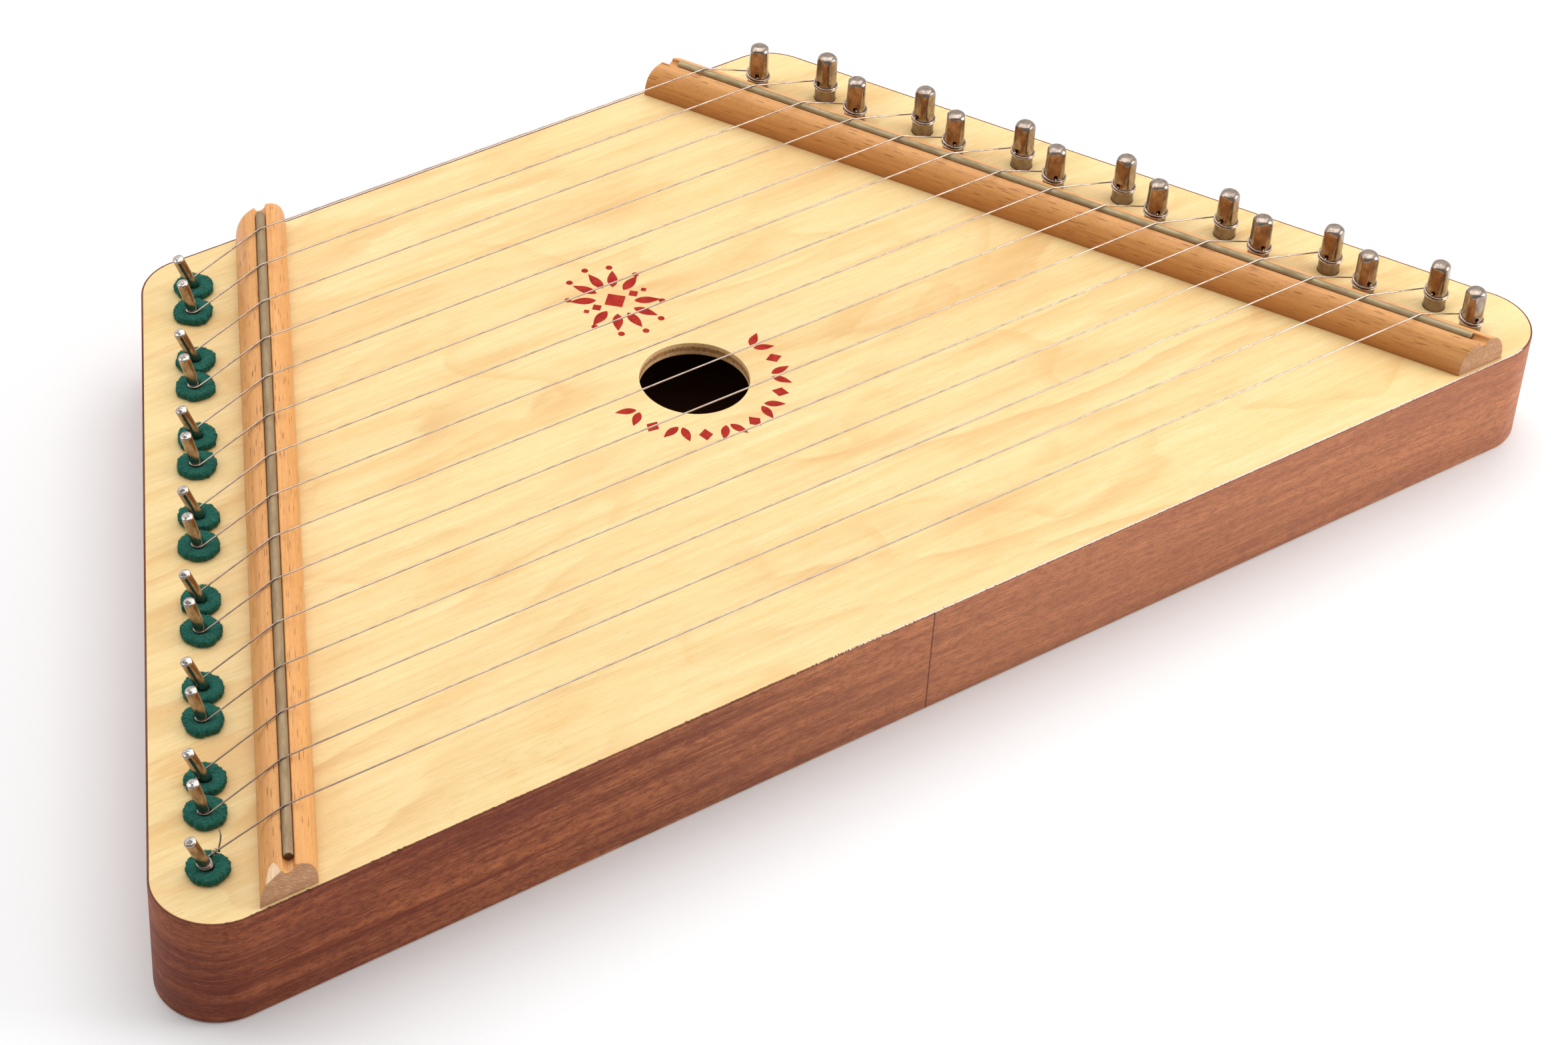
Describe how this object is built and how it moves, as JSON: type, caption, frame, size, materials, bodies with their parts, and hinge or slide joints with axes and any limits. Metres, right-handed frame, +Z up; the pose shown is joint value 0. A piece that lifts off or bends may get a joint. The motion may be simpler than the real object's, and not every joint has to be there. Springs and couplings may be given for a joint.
{
  "type": "lap psaltery",
  "caption": "Trapezoidal wooden lap psaltery with steel strings over two bridges, leaning hitch pins on felt and turning zither pins.",
  "frame": {"origin": "middle of the body's width and depth, on the underside", "axes": "+X along the strings from the hitch pins to the tuning pins, +Y from the long side to the short side, +Z up"},
  "size_m": [0.4306, 0.226, 0.049],
  "materials": {
    "birch_ply": "pale birch plywood, satin varnish",
    "sapele": "reddish-brown open-pored veneer, satin",
    "beech": "light brown beech with short dark flecks, satin",
    "inner_hardwood": "unfinished hardwood",
    "inner_pine": "unfinished softwood",
    "brass_rod": "dull drawn brass",
    "nickel_pin": "bright nickel plate",
    "string_steel": "plain steel music wire",
    "green_felt": "dark green wool felt",
    "stamp_ink": "red-brown stamped ink"
  },
  "bodies": {
    "root": {"soundboard": "birch_ply", "back_plate": "birch_ply", "side_band": "sapele", "hitch_pin_block": "inner_hardwood", "tuning_pin_block": "inner_hardwood", "long_rail": "inner_pine", "short_rail": "inner_pine", "soundboard_brace_front": "inner_pine", "soundboard_brace_back": "inner_pine", "left_bridge": "beech", "right_bridge": "beech", "left_bridge_rod": "brass_rod", "right_bridge_rod": "brass_rod", "hitch_pin_01": "nickel_pin", "hitch_pin_02": "nickel_pin", "hitch_pin_03": "nickel_pin", "hitch_pin_04": "nickel_pin", "hitch_pin_05": "nickel_pin", "hitch_pin_06": "nickel_pin", "hitch_pin_07": "nickel_pin", "hitch_pin_08": "nickel_pin", "hitch_pin_09": "nickel_pin", "hitch_pin_10": "nickel_pin", "hitch_pin_11": "nickel_pin", "hitch_pin_12": "nickel_pin", "hitch_pin_13": "nickel_pin", "hitch_pin_14": "nickel_pin", "hitch_pin_15": "nickel_pin", "felt_washers_01_02": "green_felt", "felt_washers_03_04": "green_felt", "felt_washers_05_06": "green_felt", "felt_washers_07_08": "green_felt", "felt_washers_09_10": "green_felt", "felt_washers_11_12": "green_felt", "felt_washers_13_14": "green_felt", "felt_washer_15": "green_felt", "string_01_02": "string_steel", "string_03_04": "string_steel", "string_05_06": "string_steel", "string_07_08": "string_steel", "string_09_10": "string_steel", "string_11_12": "string_steel", "string_13_14": "string_steel", "string_15": "string_steel"},
    "pin_01": {"tuning_pin_01": "nickel_pin"},
    "pin_02": {"tuning_pin_02": "nickel_pin"},
    "pin_03": {"tuning_pin_03": "nickel_pin"},
    "pin_04": {"tuning_pin_04": "nickel_pin"},
    "pin_05": {"tuning_pin_05": "nickel_pin"},
    "pin_06": {"tuning_pin_06": "nickel_pin"},
    "pin_07": {"tuning_pin_07": "nickel_pin"},
    "pin_08": {"tuning_pin_08": "nickel_pin"},
    "pin_09": {"tuning_pin_09": "nickel_pin"},
    "pin_10": {"tuning_pin_10": "nickel_pin"},
    "pin_11": {"tuning_pin_11": "nickel_pin"},
    "pin_12": {"tuning_pin_12": "nickel_pin"},
    "pin_13": {"tuning_pin_13": "nickel_pin"},
    "pin_14": {"tuning_pin_14": "nickel_pin"},
    "pin_15": {"tuning_pin_15": "nickel_pin"}
  },
  "joints": [
    {"name": "tuning_pin_01_turn", "type": "hinge", "parent": "root", "child": "pin_01", "pos_m": [0.09066, 0.09758, 0.034], "axis": [0, 0, 1], "range_deg": [-45, 720]},
    {"name": "tuning_pin_02_turn", "type": "hinge", "parent": "root", "child": "pin_02", "pos_m": [0.10505, 0.08358, 0.034], "axis": [0, 0, 1], "range_deg": [-45, 720]},
    {"name": "tuning_pin_03_turn", "type": "hinge", "parent": "root", "child": "pin_03", "pos_m": [0.10565, 0.06958, 0.034], "axis": [0, 0, 1], "range_deg": [-45, 720]},
    {"name": "tuning_pin_04_turn", "type": "hinge", "parent": "root", "child": "pin_04", "pos_m": [0.12004, 0.05558, 0.034], "axis": [0, 0, 1], "range_deg": [-45, 720]},
    {"name": "tuning_pin_05_turn", "type": "hinge", "parent": "root", "child": "pin_05", "pos_m": [0.12064, 0.04158, 0.034], "axis": [0, 0, 1], "range_deg": [-45, 720]},
    {"name": "tuning_pin_06_turn", "type": "hinge", "parent": "root", "child": "pin_06", "pos_m": [0.13503, 0.02758, 0.034], "axis": [0, 0, 1], "range_deg": [-45, 720]},
    {"name": "tuning_pin_07_turn", "type": "hinge", "parent": "root", "child": "pin_07", "pos_m": [0.13563, 0.01358, 0.034], "axis": [0, 0, 1], "range_deg": [-45, 720]},
    {"name": "tuning_pin_08_turn", "type": "hinge", "parent": "root", "child": "pin_08", "pos_m": [0.15002, -0.00042, 0.034], "axis": [0, 0, 1], "range_deg": [-45, 720]},
    {"name": "tuning_pin_09_turn", "type": "hinge", "parent": "root", "child": "pin_09", "pos_m": [0.15062, -0.01442, 0.034], "axis": [0, 0, 1], "range_deg": [-45, 720]},
    {"name": "tuning_pin_10_turn", "type": "hinge", "parent": "root", "child": "pin_10", "pos_m": [0.16502, -0.02842, 0.034], "axis": [0, 0, 1], "range_deg": [-45, 720]},
    {"name": "tuning_pin_11_turn", "type": "hinge", "parent": "root", "child": "pin_11", "pos_m": [0.16561, -0.04242, 0.034], "axis": [0, 0, 1], "range_deg": [-45, 720]},
    {"name": "tuning_pin_12_turn", "type": "hinge", "parent": "root", "child": "pin_12", "pos_m": [0.18001, -0.05642, 0.034], "axis": [0, 0, 1], "range_deg": [-45, 720]},
    {"name": "tuning_pin_13_turn", "type": "hinge", "parent": "root", "child": "pin_13", "pos_m": [0.1806, -0.07042, 0.034], "axis": [0, 0, 1], "range_deg": [-45, 720]},
    {"name": "tuning_pin_14_turn", "type": "hinge", "parent": "root", "child": "pin_14", "pos_m": [0.195, -0.08442, 0.034], "axis": [0, 0, 1], "range_deg": [-45, 720]},
    {"name": "tuning_pin_15_turn", "type": "hinge", "parent": "root", "child": "pin_15", "pos_m": [0.19559, -0.09842, 0.034], "axis": [0, 0, 1], "range_deg": [-45, 720]}
  ]
}
